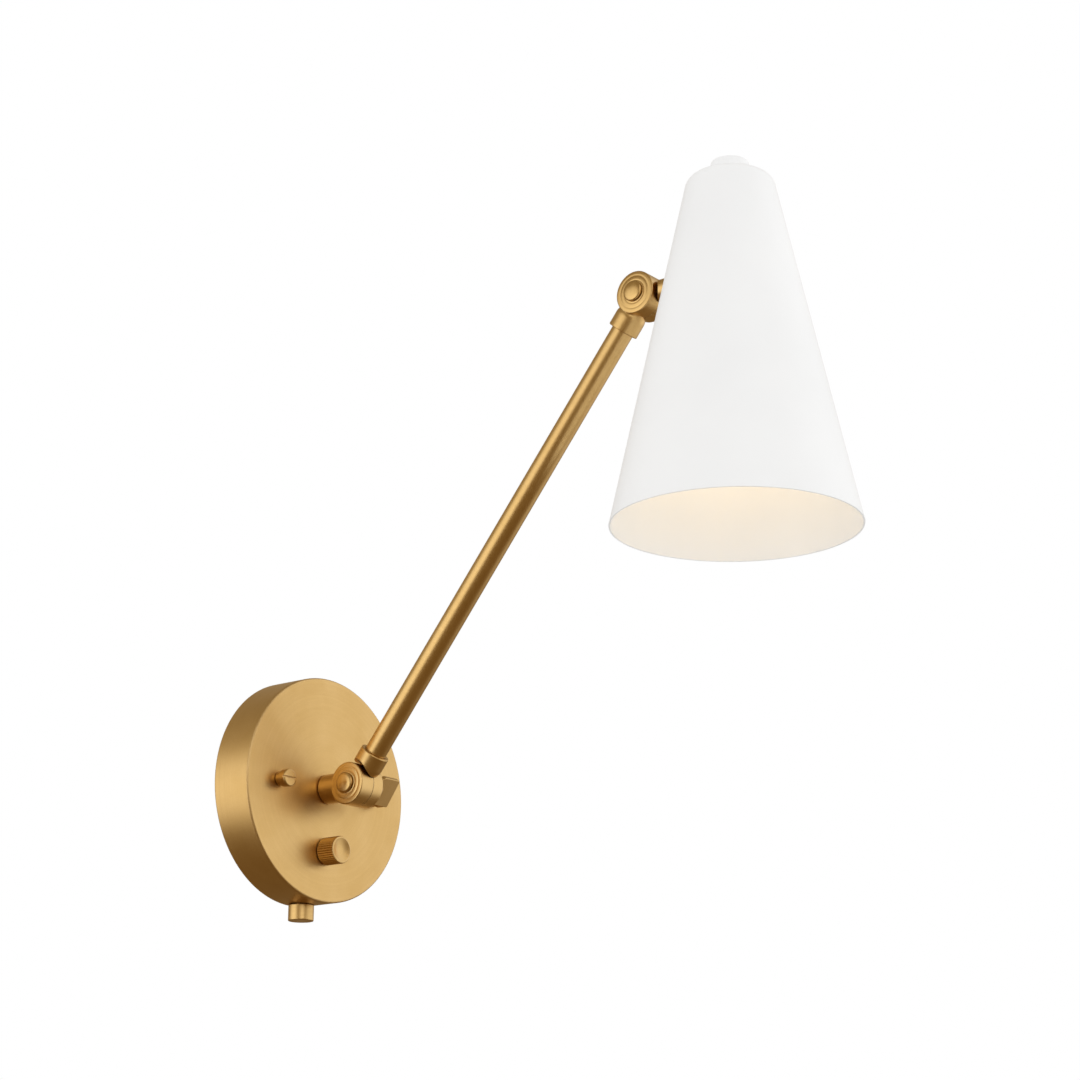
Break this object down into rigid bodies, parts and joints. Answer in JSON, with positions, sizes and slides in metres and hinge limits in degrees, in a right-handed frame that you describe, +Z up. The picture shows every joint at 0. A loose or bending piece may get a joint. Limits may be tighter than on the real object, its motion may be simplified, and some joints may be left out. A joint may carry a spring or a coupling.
{
  "type": "swing arm wall sconce",
  "caption": "Wall lamp with a round brass canopy, a straight brass arm between two bolted swivel knuckles, and a white conical shade that tilts over its bulb.",
  "frame": {"origin": "centre of the mounting bracket's back face, on the wall", "axes": "+Z up, -Y out of the wall into the room, +X to the right of a person facing the wall"},
  "size_m": [0.13, 0.3687, 0.378],
  "materials": {
    "satin_brass": "brushed satin brass under clear lacquer",
    "white_paint": "smooth satin white paint",
    "steel": "zinc-plated steel",
    "bare_brass": "bare stamped brass",
    "phenolic": "moulded black phenolic",
    "black_plastic": "black insulation",
    "white_plastic": "white insulation",
    "green_plastic": "green insulation",
    "green_steel": "green-dyed steel screw",
    "orange_plastic": "moulded orange plastic",
    "fibre": "pressed fibre",
    "frosted_glass": "frosted glass, glowing warm white"
  },
  "bodies": {
    "wall_plate": {"mounting_bracket": "steel", "canopy": "satin_brass", "left_stud": "steel", "right_stud": "steel", "left_cap_nut": "satin_brass", "right_cap_nut": "satin_brass", "ground_screw": "green_steel", "dimmer_body": "black_plastic", "dimmer_nut": "steel", "outlet_plug": "satin_brass", "outlet_plug_nut": "steel", "line_connector": "orange_plastic", "neutral_connector": "orange_plastic", "line_wire": "black_plastic", "neutral_wire": "white_plastic", "ground_wire": "green_plastic", "dimmer_lead": "black_plastic"},
    "knob": {"dimmer_knob": "satin_brass", "dimmer_shaft": "bare_brass"},
    "stem": {"stem_knuckle": "satin_brass", "stem_nipple": "steel", "stem_spring_washer": "steel", "stem_lock_nut": "steel", "lower_pivot_bolt": "satin_brass", "lower_friction_washer": "fibre"},
    "lower_nut": {"lower_thumb_nut": "satin_brass"},
    "arm": {"arm_lower_knuckle": "satin_brass", "arm_tube": "satin_brass", "arm_cable": "black_plastic", "arm_upper_knuckle": "satin_brass", "upper_pivot_bolt": "satin_brass", "upper_friction_washer": "fibre"},
    "upper_nut": {"upper_thumb_nut": "satin_brass"},
    "shade_head": {"shade_knuckle": "satin_brass", "shade_nipple": "steel", "saddle_washer": "steel", "shade_lock_nut": "steel", "shade": "white_paint", "top_knob": "white_paint", "top_nipple": "steel", "top_washer": "steel", "top_lock_nut": "steel", "socket_cap": "bare_brass", "socket_body": "phenolic", "socket_screw_shell": "bare_brass", "socket_contact": "bare_brass", "bulb_glass": "frosted_glass", "bulb_base": "steel", "bulb_insulator": "phenolic", "bulb_tip": "steel", "bulb_light_module": "white_plastic", "shade_cable": "white_plastic"}
  },
  "joints": [
    {"name": "arm_swing", "type": "hinge", "parent": "wall_plate", "child": "stem", "pos_m": [0, -0.0252, 0], "axis": [0, -1, 0], "range_deg": [-90, 90]},
    {"name": "arm_pitch", "type": "hinge", "parent": "stem", "child": "arm", "pos_m": [0, -0.0472, 0], "axis": [-1, 0, 0], "range_deg": [-90, 30]},
    {"name": "shade_tilt", "type": "hinge", "parent": "arm", "child": "shade_head", "pos_m": [0, -0.24646, 0.24345], "axis": [-1, 0, 0], "range_deg": [-30, 90]},
    {"name": "dimmer_turn", "type": "hinge", "parent": "wall_plate", "child": "knob", "pos_m": [0, -0.0252, -0.0352], "axis": [0, 1, 0], "range_deg": [0, 270]},
    {"name": "lower_nut_turn", "type": "hinge", "parent": "stem", "child": "lower_nut", "pos_m": [0, -0.0472, 0], "axis": [1, 0, 0], "range_deg": [0, 300]},
    {"name": "upper_nut_turn", "type": "hinge", "parent": "arm", "child": "upper_nut", "pos_m": [0, -0.24646, 0.24345], "axis": [1, 0, 0], "range_deg": [0, 300]}
  ]
}
